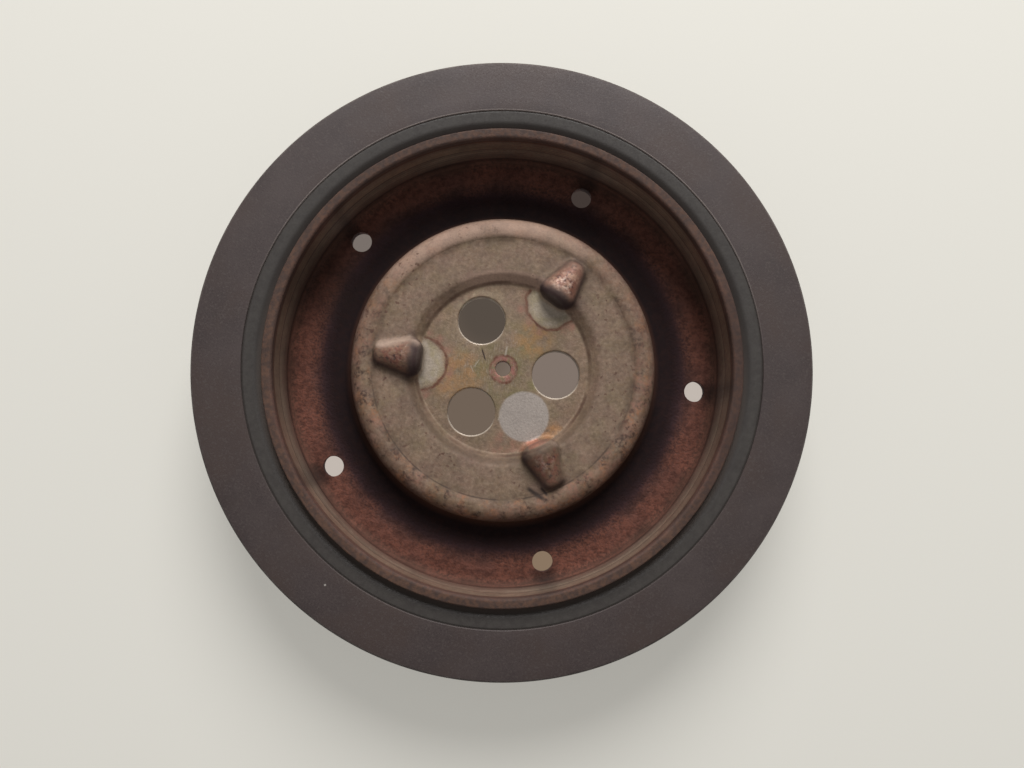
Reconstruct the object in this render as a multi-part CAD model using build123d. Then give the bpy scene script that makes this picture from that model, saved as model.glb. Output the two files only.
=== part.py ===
from build123d import *

import os
from math import acos, cos, hypot, radians, sin, tan

os.makedirs("parts", exist_ok=True)

# A torsional vibration damper for the nose of a crankshaft, in millimetres.
# The origin is the centre of the face that is clamped to the crank.
# +Z points out of that face, and one bolt hole lies on +X.

# Inertia ring, which is also the belt pulley
ring_outer_d = 150.0
ring_wall = 12.2
ring_width = 26.0
ring_front_z = 11.3
ring_outer_chamfer = 0.5
ring_inner_chamfer = 0.4

# Grooves for a ribbed belt
groove_count = 6
groove_pitch = 3.56
groove_depth = 2.8
groove_root_width = 0.9
groove_angle = 40.0

# Elastomer band, bonded between the hub's flange and the ring
band_wall = 5.1
band_setback = 0.7
band_front_fall = 0.9
band_back_hollow = 1.2
band_back_land = 0.4

# Pressed steel hub: its sheet, and the flange that the band is bonded to
sheet = 3.0
flange_wall = 2.5
lip_above_ring = 1.6
lip_outer_round = 0.4
lip_inner_round = 0.8

# The hub's section, measured on its upper side
clamp_face_d = 43.0
step_slope = 44.0
annulus_z = 2.8
crease_d = 66.0
crease_land = 0.1
bead_height = 0.5
bead_radius = 3.6
boss_wall_draft = 4.0
web_z = -4.7

# Radii of its drawn corners, on the same side
step_foot_round = 0.8
step_top_round = 2.2
boss_foot_round = 2.5
dish_foot_round = 2.3
tight_round = 0.4

# Holes
bolt_count = 3
bolt_circle_d = 27.0
bolt_hole_d = 12.0
bolt_hole_round = 0.4
centre_hole_d = 3.8
centre_hole_round = 0.3
web_hole_count = 5
web_hole_to_flange = 5.2
web_hole_d = 5.2
web_hole_round = 0.2

# Noses: blunt wedges pressed up between the bolt holes, broad end inwards.
# Each ratio is a share of the nose's length.
nose_over_clamp_face = 1.1
nose_to_crease = 0.4
nose_broad_ratio = 0.485
nose_narrow_ratio = 0.235
nose_broad_round_ratio = 0.26
nose_narrow_round_ratio = 0.17
nose_wall_ratio = 0.197
nose_axis_below_annulus = 0.8
nose_root_round = 0.5

ring_outer_r = ring_outer_d / 2
ring_inner_r = ring_outer_r - ring_wall
ring_back_z = ring_front_z - ring_width
flange_outer_r = ring_inner_r - band_wall
flange_inner_r = flange_outer_r - flange_wall
lip_z = ring_front_z + lip_above_ring
underside_z = web_z - sheet
web_hole_circle_r = flange_inner_r - web_hole_to_flange
bolt_pitch_angle = 360 / bolt_count
nose_inner_r = clamp_face_d / 2 - nose_over_clamp_face
nose_outer_r = crease_d / 2 - nose_to_crease
nose_length = nose_outer_r - nose_inner_r
nose_broad = nose_length * nose_broad_ratio
nose_narrow = nose_length * nose_narrow_ratio
nose_broad_round = nose_length * nose_broad_round_ratio
nose_narrow_round = nose_length * nose_narrow_round_ratio
nose_wall = nose_length * nose_wall_ratio
nose_axis_z = annulus_z - nose_axis_below_annulus


def revolved(outline):
    """Solid of revolution about Z, from a closed outline given in radius and height."""
    return revolve(Plane.XZ * make_face(outline), Axis.Z)


def crossing(point_a, direction_a, point_b, direction_b):
    """Where two straight runs meet."""
    (xa, ya), (ua, va) = point_a, direction_a
    (xb, yb), (ub, vb) = point_b, direction_b
    along = ((xb - xa) * vb - (yb - ya) * ub) / (ua * vb - va * ub)
    return xa + along * ua, ya + along * va


def bead_corner():
    """Where the slope inside the bead and the boss wall outside it would meet."""
    slope = acos(1 - bead_height / bead_radius)
    draft = radians(boss_wall_draft)
    crease_r = crease_d / 2
    bead_start_r = crease_r + crease_land * cos(slope)
    bead_start_z = annulus_z + crease_land * sin(slope)
    centre_r = bead_start_r + bead_radius * sin(slope)
    centre_z = bead_start_z - bead_radius * cos(slope)
    wall_point = (centre_r + bead_radius * cos(draft), centre_z + bead_radius * sin(draft))
    wall_run = (-sin(draft), cos(draft))
    return crossing((crease_r, annulus_z), (cos(slope), sin(slope)), wall_point, wall_run)


def turn_at(before, corner, after):
    """Sine and cosine of the turn at a corner; the sine is positive for a left turn."""
    ux, uy = corner[0] - before[0], corner[1] - before[1]
    vx, vy = after[0] - corner[0], after[1] - corner[1]
    lengths = hypot(ux, uy) * hypot(vx, vy)
    return (ux * vy - uy * vx) / lengths, (ux * vx + uy * vy) / lengths


def fitted_rounds(corners, rounds):
    """Radii for the inner corners, made smaller where two would meet on a run."""
    reaches = [0]
    for before, corner, after, radius in zip(corners, corners[1:], corners[2:], rounds):
        turn_sine, turn_cosine = turn_at(before, corner, after)
        reaches.append(radius * abs(turn_sine) / (1 + turn_cosine))
    reaches.append(0)
    room = []
    for (x1, y1), (x2, y2), reach, next_reach in zip(corners, corners[1:], reaches, reaches[1:]):
        needed = max(reach + next_reach, tight_round)
        room.append(min(1, 0.998 * hypot(x2 - x1, y2 - y1) / needed))
    return [radius * min(sides) for radius, *sides in zip(rounds, room, room[1:])]


def underside_of(corners, walls):
    """Corners of the sheet's lower side: each run moves down by its own wall."""
    runs = []
    for (x1, y1), (x2, y2), wall in zip(corners, corners[1:], walls):
        length = hypot(x2 - x1, y2 - y1)
        along = ((x2 - x1) / length, (y2 - y1) / length)
        runs.append(((x1 + along[1] * wall, y1 - along[0] * wall), along))
    inner = [crossing(*run, *following) for run, following in zip(runs, runs[1:])]
    first = (corners[0][0], corners[0][1] - walls[0])
    last = (corners[-1][0] + walls[-1], corners[-1][1])
    return [first] + inner + [last]


def underside_rounds(corners, rounds):
    """A corner that is hollow above is fuller below by the sheet, and the reverse."""
    below = []
    for before, corner, after, radius in zip(corners, corners[1:], corners[2:], rounds):
        hollow_above = turn_at(before, corner, after)[0] > 0
        below.append(max(radius + (sheet if hollow_above else -sheet), tight_round))
    return below


def hub_section():
    """Corners and radii of the upper side, then of the lower side, from axis to lip."""
    clamp_face_r = clamp_face_d / 2
    step_top_r = clamp_face_r + annulus_z / tan(radians(step_slope))
    bead_r, bead_z = bead_corner()
    boss_foot_r = bead_r + (bead_z - web_z) * tan(radians(boss_wall_draft))
    upper = [
        (0, 0),
        (clamp_face_r, 0),
        (step_top_r, annulus_z),
        (crease_d / 2, annulus_z),
        (bead_r, bead_z),
        (boss_foot_r, web_z),
        (flange_inner_r, web_z),
        (flange_inner_r, lip_z),
    ]
    rounds = [step_foot_round, step_top_round, 0, bead_radius, boss_foot_round, dish_foot_round]
    walls = [sheet] * (len(upper) - 2) + [flange_wall]
    lower = underside_of(upper, walls)
    lower_rounds = underside_rounds(upper, rounds)
    return upper, fitted_rounds(upper, rounds), lower, fitted_rounds(lower, lower_rounds)


def sheet_outline(upper, rounds, lower, lower_rounds):
    """Closed outline of the hub's half section."""
    corners = upper + lower[::-1]
    radii = [0] + rounds + [lip_inner_round, lip_outer_round] + lower_rounds[::-1] + [0]
    return FilletPolyline(*corners, radius=radii, close=True)


def below_middle(upper):
    """Solid that fills the space under the middle of the sheet."""
    middle = underside_of(upper, [sheet / 2] * (len(upper) - 1))[:-1]
    floor_z = underside_z - nose_broad
    return revolved(Polyline(*middle, (middle[-1][0], floor_z), (0, floor_z), close=True))


def nose(inset):
    """Nose along X: its upper half is a body of revolution, its foot is straight.

    The inset moves its surface inwards, for the hollow that the punch leaves.
    """
    taper = (nose_broad - nose_narrow) / nose_length
    flank_drop = inset * (hypot(1, taper) + taper)
    inner_x, outer_x = nose_inner_r + inset, nose_outer_r - inset
    outer_half = nose_broad - taper * (outer_x - nose_inner_r) - inset * hypot(1, taper)
    half_plan = make_face(
        FilletPolyline(
            (inner_x, 0),
            (inner_x, nose_broad - flank_drop),
            (outer_x, outer_half),
            (outer_x, 0),
            radius=[
                0,
                max(nose_broad_round - inset, tight_round),
                max(nose_narrow_round - inset, tight_round),
                0,
            ],
            close=True,
        )
    )
    plan = half_plan + mirror(half_plan, Plane.XZ)
    foot = extrude(plan, amount=underside_z - nose_broad - nose_axis_z)
    return Pos(Z=nose_axis_z) * (revolve(half_plan, Axis.X) + foot)


def around(solid, count, first_angle=0):
    """Copies of a solid, evenly spaced about Z."""
    return [Rot(Z=first_angle + i * 360 / count) * solid for i in range(count)]


def hole_cutter(radius, mouth_round, face_z):
    """Cutter for a punched hole, with the rounded upper edge that punching leaves."""
    mouth_r = radius + mouth_round
    outline = Polyline(
        (radius, face_z - mouth_round),
        (radius, face_z - sheet - nose_broad),
        (0, face_z - sheet - nose_broad),
        (0, face_z + mouth_round),
        (mouth_r, face_z + mouth_round),
        (mouth_r, face_z),
    )
    middle = mouth_round * (1 - cos(radians(45)))
    edge = ThreePointArc((mouth_r, face_z), (radius + middle, face_z - middle), outline @ 0)
    return revolved(Curve() + [outline, edge])


def make_hub():
    upper, rounds, lower, lower_rounds = hub_section()
    blank = revolved(sheet_outline(upper, rounds, lower, lower_rounds))
    noses = around(nose(0) - below_middle(upper), bolt_count, bolt_pitch_angle / 2)
    hub = blank + noses
    hub = fillet(new_edges(blank, *noses, combined=hub), nose_root_round)
    hub -= around(nose(nose_wall), bolt_count, bolt_pitch_angle / 2)
    bolt_hole = Pos(X=bolt_circle_d / 2) * hole_cutter(bolt_hole_d / 2, bolt_hole_round, 0)
    web_hole = Pos(X=web_hole_circle_r) * hole_cutter(web_hole_d / 2, web_hole_round, web_z)
    hub -= around(bolt_hole, bolt_count)
    hub -= around(web_hole, web_hole_count)
    hub -= hole_cutter(centre_hole_d / 2, centre_hole_round, 0)
    return hub


def make_band():
    """Elastomer between flange and ring, full at the front and hollow at the back."""
    crown_z = ring_front_z - band_setback
    front_z = crown_z - band_front_fall
    back_z = underside_z + sheet + dish_foot_round + band_back_land
    middle_r = (flange_outer_r + ring_inner_r) / 2
    front = ThreePointArc((flange_outer_r, front_z), (middle_r, crown_z), (ring_inner_r, front_z))
    back = ThreePointArc(
        (ring_inner_r, back_z), (middle_r, back_z + band_back_hollow), (flange_outer_r, back_z)
    )
    sides = [Line(front @ 1, back @ 0), Line(back @ 1, front @ 0)]
    return revolved(Curve() + [front, back] + sides)


def groove_corners():
    """Corners of the belt grooves, from the back of the ring to its front."""
    half_root = groove_root_width / 2
    half_mouth = half_root + groove_depth * tan(radians(groove_angle / 2))
    root_r = ring_outer_r - groove_depth
    corners = []
    for i in range(groove_count):
        middle_z = ring_back_z + ring_width / 2 + (i - (groove_count - 1) / 2) * groove_pitch
        corners.append((ring_outer_r, middle_z - half_mouth))
        corners.append((root_r, middle_z - half_root))
        corners.append((root_r, middle_z + half_root))
        corners.append((ring_outer_r, middle_z + half_mouth))
    return corners


def make_ring():
    outline = Polyline(
        (ring_inner_r, ring_back_z + ring_inner_chamfer),
        (ring_inner_r + ring_inner_chamfer, ring_back_z),
        (ring_outer_r - ring_outer_chamfer, ring_back_z),
        (ring_outer_r, ring_back_z + ring_outer_chamfer),
        *groove_corners(),
        (ring_outer_r, ring_front_z - ring_outer_chamfer),
        (ring_outer_r - ring_outer_chamfer, ring_front_z),
        (ring_inner_r + ring_inner_chamfer, ring_front_z),
        (ring_inner_r, ring_front_z - ring_inner_chamfer),
        close=True,
    )
    return revolved(outline)


export_step(make_hub(), "parts/hub.step")
export_step(make_band(), "parts/rubber_band.step")
export_step(make_ring(), "parts/inertia_ring.step")
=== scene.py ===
import math
import bmesh
import bpy
import numpy as np
from mathutils import Matrix, Vector


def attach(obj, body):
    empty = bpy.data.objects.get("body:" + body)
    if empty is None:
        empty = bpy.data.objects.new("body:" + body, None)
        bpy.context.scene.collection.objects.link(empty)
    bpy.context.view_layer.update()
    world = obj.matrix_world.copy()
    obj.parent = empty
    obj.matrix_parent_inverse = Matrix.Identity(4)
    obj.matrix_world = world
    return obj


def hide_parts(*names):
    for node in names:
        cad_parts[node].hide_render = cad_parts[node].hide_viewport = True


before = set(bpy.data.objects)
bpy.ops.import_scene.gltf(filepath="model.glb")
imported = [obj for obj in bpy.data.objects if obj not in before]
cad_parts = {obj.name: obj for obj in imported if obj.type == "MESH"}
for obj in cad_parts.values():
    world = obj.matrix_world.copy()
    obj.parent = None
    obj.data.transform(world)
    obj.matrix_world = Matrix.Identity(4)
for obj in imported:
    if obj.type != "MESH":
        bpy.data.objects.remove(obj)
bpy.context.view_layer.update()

from types import SimpleNamespace

# Crankshaft vibration damper, lying on the back of its ring. Shapes are in millimetres in
# the part's own frame, and addPiece turns them into metres.
aroundCount = 300
thetaStep = 360 / aroundCount
print("frame loaded:", sorted(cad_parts))


def roundedLine(corners, arcStep=9, runStep=2.5):
    # Corners are (radius, height, round). Each inner corner becomes an arc that touches
    # both of its runs, and the straight runs between arcs are divided into equal steps.
    points = [np.array(corners[0][:2], float)]
    for before, corner, after in zip(corners, corners[1:], corners[2:]):
        middle = np.array(corner[:2], float)
        if corner[2] == 0:
            points.append(middle)
            continue
        u, v = np.array(before[:2]) - middle, np.array(after[:2]) - middle
        u, v = u / np.linalg.norm(u), v / np.linalg.norm(v)
        half = math.acos(np.clip(u @ v, -1, 1)) / 2
        centre = middle + (u + v) / np.linalg.norm(u + v) * corner[2] / math.sin(half)
        start = middle + u * corner[2] / math.tan(half) - centre
        end = middle + v * corner[2] / math.tan(half) - centre
        turn = math.atan2(start[0] * end[1] - start[1] * end[0], start @ end)
        angles = np.linspace(0, turn, max(2, math.ceil(abs(math.degrees(turn)) / arcStep)) + 1)
        cos, sin = np.cos(angles), np.sin(angles)
        arc = np.stack([start[0] * cos - start[1] * sin, start[0] * sin + start[1] * cos], 1)
        points.extend(centre + arc)
    points.append(np.array(corners[-1][:2], float))
    line = [points[0]]
    for a, b in zip(points, points[1:]):
        steps = max(1, math.ceil(np.linalg.norm(b - a) / runStep))
        line.extend(a + (b - a) * i / steps for i in range(1, steps + 1))
    return np.array(line)


def turned(line, first=0.0, last=360.0):
    # Profile carried round Z: point (t, theta) = (r(t) cos theta, r(t) sin theta, z(t)).
    theta = np.radians(np.arange(round(first / thetaStep), round(last / thetaStep) + 1) * thetaStep)
    r, z = line[:, 0][:, None], line[:, 1][:, None]
    return np.stack([r * np.cos(theta), r * np.sin(theta), z + 0 * theta], 2)


def blockEdge(halfAngle, radii, inner=None, outer=None):
    # Closed outline of a piece of a flat ring about +X: outer arc, side, inner arc, side.
    # inner and outer give the arcs' reach by angle where they aren't plain circles.
    arc = np.arange(-round(halfAngle / thetaStep), round(halfAngle / thetaStep) + 1) * thetaStep
    outerReach = outer(arc) if outer else np.full(len(arc), radii[-1])
    innerReach = inner(arc) if inner else np.full(len(arc), radii[0])
    sides = len(radii) - 1
    angles = np.concatenate([arc, np.full(sides, arc[-1]), arc[::-1][1:], np.full(sides, arc[0])])
    reach = np.concatenate([outerReach, radii[::-1][1:-1], innerReach[::-1], radii[1:-1], outerReach[:1]])
    angles = np.radians(angles)
    return np.stack([reach * np.cos(angles), reach * np.sin(angles)], 1)


def spreadFrom(centre, rings, edge, outerSteps, bias=1.0):
    # Rings about a centre that go over into the block's outline: point (s, k) is the
    # centre plus reach(s, k) times direction(k), and the last ring is the outline.
    away = edge - centre
    reach = np.linalg.norm(away, axis=1)
    direction = away / reach[:, None]
    rings = [np.broadcast_to(r, len(edge)) for r in rings]
    shares = (np.arange(1, outerSteps + 1) / outerSteps) ** bias
    rings += [rings[-1] + (reach - rings[-1]) * share for share in shares]
    flat = centre + np.array(rings)[:, :, None] * direction
    flat[-1] = edge
    return flat


def raised(flat, height):
    # Puts a flat grid on a height field.
    return np.concatenate([flat, height(flat[..., 0], flat[..., 1])[..., None]], -1)


def around(grids, angles):
    # The same grids turned about Z.
    turnedGrids = []
    for angle in np.radians(angles):
        cos, sin = math.cos(angle), math.sin(angle)
        turn = np.array([[cos, -sin, 0], [sin, cos, 0], [0, 0, 1]])
        turnedGrids += [grid @ turn.T for grid in grids]
    return turnedGrids


def addPiece(name, grids, sharpAngle=32):
    # Grids of points become quads. Equal points are welded, which also closes the poles.
    allPoints, allFaces, count = [], [], 0
    for grid in grids:
        rows, cols = grid.shape[:2]
        index = count + np.arange(rows * cols).reshape(rows, cols)
        quads = np.stack([index[:-1, :-1], index[:-1, 1:], index[1:, 1:], index[1:, :-1]], -1)
        allPoints.append(grid.reshape(-1, 3))
        allFaces.append(quads.reshape(-1, 4))
        count += rows * cols
    mesh = bpy.data.meshes.new(name)
    mesh.from_pydata((np.concatenate(allPoints) * 0.001).tolist(), [], np.concatenate(allFaces).tolist())
    bm = bmesh.new()
    bm.from_mesh(mesh)
    bmesh.ops.remove_doubles(bm, verts=bm.verts, dist=2e-6)
    bmesh.ops.recalc_face_normals(bm, faces=bm.faces)
    openEdges = sum(not edge.is_manifold for edge in bm.edges)
    volume = bm.calc_volume(signed=True) * 1e9
    bm.to_mesh(mesh)
    bm.free()
    mesh.shade_smooth()
    mesh.set_sharp_from_angle(angle=math.radians(sharpAngle))
    piece = bpy.data.objects.new(name, mesh)
    bpy.context.scene.collection.objects.link(piece)
    triangles = sum(len(polygon.vertices) - 2 for polygon in mesh.polygons)
    print(f"{name}: {triangles} triangles, {openEdges} open edges, {volume:.0f} mm3")
    return piece


hub = {
    # corners of the pressing's section: radius, height, round
    "upper": [(0, 0, 0), (21.5, 0, 0.8), (24.399, 2.8, 2.2), (33.0, 2.8, 0), (38.101, 5.812, 3.6),
              (38.836, -4.7, 2.5), (44.0, -4.7, 0)],
    "flange": [(52.9, -4.7, 0), (55.2, -4.7, 2.3), (55.2, 12.9, 0.8), (57.7, 12.9, 0.4),
               (57.7, -7.7, 5.3), (50.0, -7.7, 0)],
    "bossInside": [(44.0, -7.7, 0), (36.039, -7.7, 5.5), (35.447, 0.761, 0.6), (33.82, -0.2, 3.0),
                   (33.0, -0.2, 0)],
    "lowerMiddle": [(0, -3.0, 0), (22.712, -3.0, 3.8), (25.612, -0.2, 0.4), (33.0, -0.2, 0)],
    "flangeFoot": (52.4, -2.4, 5.3),  # centre and radius of the flange's outer foot
    "webFlats": (44.0, 52.9),
    "webZ": -4.7,
    "sheet": 3.0,
    "discEdge": (19.6, 0.75),         # the clamped disc's blocks end here, further out at the bolt holes
    "bossStart": 34.6,
    # rows and columns of the blocks' grids
    "discSteps": 22, "discTop": 12, "discBottom": 5, "noseOutside": 6,
    "webSteps": 14, "webTop": 6, "webBottom": 4,
    "boltHoles": {"circle": 13.5, "radius": 6.0, "mouth": 0.4, "angles": (0, 120, 240)},
    "centreHole": {"radius": 1.9, "mouth": 0.3},
    "webHoles": {"circle": 50.0, "radius": 2.6, "mouth": 0.2, "breakOut": 0.2, "block": 8.4,
                 "angles": (0, 72, 144, 216, 288)},
    # long waves: height of one, waves as (turn per mm along X and Y, start, share), and the
    # radius at which they are gone, and how far in they are whole
    "waviness": 0.025, "waves": ((0.31, 0.17, 1.1, 1), (-0.36, 0.23, 2.7, 1), (0.52, 0.47, 0, 0.7)),
    "waveFade": (53, 8),
}
noses = {
    "angles": (60, 180, 300),
    # rounds at the broad and the narrow end: place along the nose, distance from its axis, radius
    "outside": ((23.572, 1.854, 3.172), (30.526, 1.248, 2.074)),
    "hollow": ((23.572, 1.854, 0.772), (29.8, 0.681, 0.4)),
    "middle": 26.4,
    "axisZ": 2.0,
    "top": 7.1,
    "draft": 0.1,
    "rootBlend": 1.3,
    "block": 20.4,
    # steps of the march to a surface, and the share of the distance that each one takes
    "march": (80, 0.85), "outlineMarch": (60, 0.9), "outlineStart": 12.0,
}


def noseDistance(x, y, z, rounds):
    # Distance to a blunt wedge about +X whose sections across X are round. With q the
    # distance from its axis, less the core that the two rounds stand off by, and p the place
    # along it, it is the distance to the side between the rounds, or to a round past either
    # end. Below the axis the wall goes straight down with a small draft.
    (broadX, broadOff, broadR), (narrowX, narrowOff, narrowR) = rounds
    length = narrowX - broadX
    lean = (broadR - narrowR) / length
    side = math.sqrt(1 - lean * lean)
    above = z - noses["axisZ"]
    p = x - broadX
    core = broadOff + (narrowOff - broadOff) * np.clip(p / length, 0, 1)
    q = np.maximum(np.hypot(y, np.maximum(above, 0)) - core, 0)
    along = p * side - q * lean
    distance = np.where(
        along < 0,
        np.hypot(p, q) - broadR,
        np.where(along > side * length, np.hypot(p - length, q) - narrowR, p * lean + q * side - broadR),
    )
    return distance - noses["draft"] * np.maximum(-above, 0)


def softLower(a, b, width):
    # The lower of two distances, with a rounded valley about that wide where they meet.
    overlap = np.maximum(width - np.abs(a - b), 0) / width
    return np.minimum(a, b) - overlap * overlap * width / 4


upperLine = roundedLine(hub["upper"], arcStep=6, runStep=1.4)
bossStart = np.argmax(upperLine[:, 0] > hub["bossStart"])
lowerLine = roundedLine(hub["lowerMiddle"], arcStep=9)


def upperBase(x, y):
    middle = upperLine[: bossStart + 1]
    return np.interp(np.hypot(x, y), middle[:, 0], middle[:, 1])


def upperHeight(x, y):
    # Upper side of the sheet about the nose on +X: a march straight down from above the
    # nose stops where the distance to the nose and sheet together is nothing.
    base = upperBase(x, y)
    z = np.full(x.shape, noses["top"] + 0.5)
    steps, share = noses["march"]
    for _ in range(steps):
        z = z - share * softLower(noseDistance(x, y, z, noses["outside"]), z - base, noses["rootBlend"])
    z[-1] = base[-1]
    return z


def lowerHeight(x, y):
    # Lower side of the sheet, with the hollow that the punch leaves under the nose.
    base = np.interp(np.hypot(x, y), lowerLine[:, 0], lowerLine[:, 1])
    z = np.full(x.shape, noses["top"])
    steps, share = noses["march"]
    for _ in range(steps):
        z = np.maximum(z - share * np.maximum(noseDistance(x, y, z, noses["hollow"]), 0), base)
    return z


def outlineReach(centre, edge, rounds):
    # How far the nose's plan outline is from its centre, towards each point of the edge.
    direction = (edge - centre) / np.linalg.norm(edge - centre, axis=1)[:, None]
    reach, level = np.full(len(edge), noses["outlineStart"]), np.full(len(edge), noses["axisZ"])
    steps, share = noses["outlineMarch"]
    for _ in range(steps):
        at = centre + reach[:, None] * direction
        reach = reach - share * noseDistance(at[:, 0], at[:, 1], level, rounds)
    return reach


def webUnderside(x, y):
    # Flat, then the start of the round that leads up into the flange.
    footR, footZ, footRound = hub["flangeFoot"]
    past = np.maximum(np.hypot(x, y) - footR, 0)
    return footZ - np.sqrt(footRound ** 2 - past ** 2)


def holeWall(centre, edge, hole, topZ, bottom):
    # Down the wall of a hole: the quarter round of its mouth, then to the far side, where a
    # punched hole breaks out a little wider.
    direction = (edge - centre) / np.linalg.norm(edge - centre, axis=1)[:, None]
    turn = np.linspace(0, math.pi / 2, 5)
    radii = hole["radius"] + hole["mouth"] * (1 - np.sin(turn))
    heights = topZ - hole["mouth"] * (1 - np.cos(turn))
    flat = centre + np.append(radii, hole["radius"] + hole.get("breakOut", 0))[:, None, None] * direction
    z = np.broadcast_to(heights[:, None], (len(turn), len(edge)))
    z = np.concatenate([z, bottom(flat[-1, :, 0], flat[-1, :, 1])[None]])
    return np.concatenate([flat, z[..., None]], -1)


def flatAt(level):
    return lambda x, y: np.full(np.shape(x), float(level))


def discReach(angle):
    # The disc's blocks reach further out past a bolt hole, and less far towards a nose.
    middle, sway = hub["discEdge"]
    return middle + sway * np.cos(3 * np.radians(angle))


def makeHub():
    grids = []
    # clamped disc: three blocks, each with a bolt hole, about the centre hole
    centreHole, bolt, sheet = hub["centreHole"], hub["boltHoles"], hub["sheet"]
    mouthR = centreHole["radius"] + centreHole["mouth"]
    edge = blockEdge(60, np.linspace(mouthR, discReach(60), hub["discSteps"]), outer=discReach)
    centre = np.array([bolt["circle"], 0])
    block = [
        raised(spreadFrom(centre, [bolt["radius"] + bolt["mouth"]], edge, hub["discTop"]), flatAt(0)),
        raised(spreadFrom(centre, [bolt["radius"]], edge, hub["discBottom"]), flatAt(-sheet)),
        holeWall(centre, edge, bolt, 0, flatAt(-sheet)),
    ]
    grids += around(block, bolt["angles"])
    drop, holeR = centreHole["mouth"], centreHole["radius"]
    centreWall = [(mouthR, 0), (mouthR - 0.6 * drop, -0.2 * drop), (holeR, -drop), (holeR, -sheet),
                  (mouthR, -sheet)]
    grids.append(turned(np.array(centreWall)))
    # step and sloping ring with the three noses
    nose, turn = np.array([noses["middle"], 0.0]), noses["block"]
    inner = lambda angle: discReach(angle + 60)
    for line, height, base, rounds, inside, outside in (
        (upperLine[: bossStart + 1], upperHeight, upperBase, noses["outside"], 14,
         (0.05, 0.12, 0.22, 0.36, 0.55, 0.8, 1.1, 1.5)),
        (lowerLine, lowerHeight, lowerHeight, noses["hollow"], 9, (0.05, 0.4, 1.2)),
    ):
        radii = np.append(inner(turn), line[line[:, 0] > hub["discEdge"][0] + 1, 0])
        edge = blockEdge(turn, radii, inner=inner)
        outline = outlineReach(nose, edge, rounds)
        rings = [outline * share for share in np.sin(np.linspace(0, math.pi / 2, inside))]
        rings += [outline + extra for extra in outside]
        grids += around([raised(spreadFrom(nose, rings, edge, hub["noseOutside"]), height)], noses["angles"])
        between = np.arange(round(turn / thetaStep), round((120 - turn) / thetaStep) + 1) * thetaStep
        reach = np.concatenate([inner(between)[None], np.repeat(radii[1:, None], len(between), 1)])
        angles = np.radians(between)
        flat = np.stack([reach * np.cos(angles), reach * np.sin(angles)], -1)
        grids += around([raised(flat, base)], noses["angles"])
    # boss
    grids.append(turned(upperLine[bossStart:]))
    grids.append(turned(roundedLine(hub["bossInside"], arcStep=14, runStep=3)))
    # web with its five holes
    web = hub["webHoles"]
    radii = np.linspace(*hub["webFlats"], hub["webSteps"])
    edge = blockEdge(web["block"], radii)
    centre = np.array([web["circle"], 0])
    block = [
        raised(spreadFrom(centre, [web["radius"] + web["mouth"]], edge, hub["webTop"]), flatAt(hub["webZ"])),
        raised(spreadFrom(centre, [web["radius"] + web["breakOut"]], edge, hub["webBottom"]), webUnderside),
        holeWall(centre, edge, web, hub["webZ"], webUnderside),
    ]
    grids += around(block, web["angles"])
    for heights in (np.full(len(radii), hub["webZ"]), webUnderside(radii, 0 * radii)):
        between = turned(np.stack([radii, heights], 1), web["block"], 72 - web["block"])
        grids += around([between], web["angles"])
    # flange, from the web's upper side over the lip to its lower side
    line = roundedLine(hub["flange"], arcStep=9, runStep=1.6)
    past = (line[:, 0] <= radii[-1]) & (line[:, 1] < hub["webZ"] - 1)
    line = np.concatenate([line[: np.argmax(past)], [(radii[-1], webUnderside(radii[-1], 0.0))]])
    grids.append(turned(line))
    return addPiece("hubPressing", [wavy(grid) for grid in grids])


def wavy(grid):
    # A pressed sheet is never quite flat: a few long waves, which die away at the flange.
    x, y = grid[..., 0], grid[..., 1]
    gone, run = hub["waveFade"]
    fade = np.clip((gone - np.hypot(x, y)) / run, 0, 1) * hub["waviness"]
    wave = sum(share * np.sin(a * x + b * y + start) for a, b, start, share in hub["waves"])
    return np.concatenate([grid[..., :2], (grid[..., 2] + fade * wave)[..., None]], -1)


hubPiece = makeHub()

rubber = {
    "section": [(57.7, 9.8, 0), (58.05, 9.8, 0.25), (59.9, 10.85, 2.2), (62.4, 11.05, 0.4), (62.8, 10.92, 0),
                (62.8, -2.0, 0), (60.25, -0.4, 3.0), (57.7, -2.0, 0), (57.7, 9.8, 0)],
}


def makeRubber():
    return addPiece("rubberBand", [turned(roundedLine(rubber["section"], arcStep=6, runStep=0.8))])


rubberPiece = makeRubber()

ring = {
    "outerR": 75.0, "innerR": 62.8, "frontZ": 11.3, "backZ": -14.7,
    "outerChamfer": 0.5, "innerChamfer": 0.2, "edgeRound": 0.15,
    "grooves": 6, "pitch": 3.56, "depth": 2.8, "rootHalf": 0.45, "angle": 40, "grooveRound": 0.25,
}


def makeRing():
    # Section of the ring, once round: front face, grooves from the front, back face, bore.
    outer, inner, front, back = ring["outerR"], ring["innerR"], ring["frontZ"], ring["backZ"]
    cut, bore, soft = ring["outerChamfer"], ring["innerChamfer"], ring["edgeRound"]
    corners = [(inner, 0, 0), (inner, front - bore, soft), (inner + bore, front, soft),
               (outer - cut, front, soft), (outer, front - cut, soft)]
    mouth = ring["rootHalf"] + ring["depth"] * math.tan(math.radians(ring["angle"] / 2))
    for i in range(ring["grooves"]):
        z = (front + back) / 2 + ((ring["grooves"] - 1) / 2 - i) * ring["pitch"]
        root, bend = outer - ring["depth"], ring["grooveRound"]
        corners += [(outer, z + mouth, bend), (root, z + ring["rootHalf"], bend),
                    (root, z - ring["rootHalf"], bend), (outer, z - mouth, bend)]
    corners += [(outer, back + cut, soft), (outer - cut, back, soft),
                (inner + bore, back, soft), (inner, back + bore, soft), (inner, 0, 0)]
    return addPiece("inertiaRing", [turned(roundedLine(corners, arcStep=20, runStep=3))])


ringPiece = makeRing()

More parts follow.
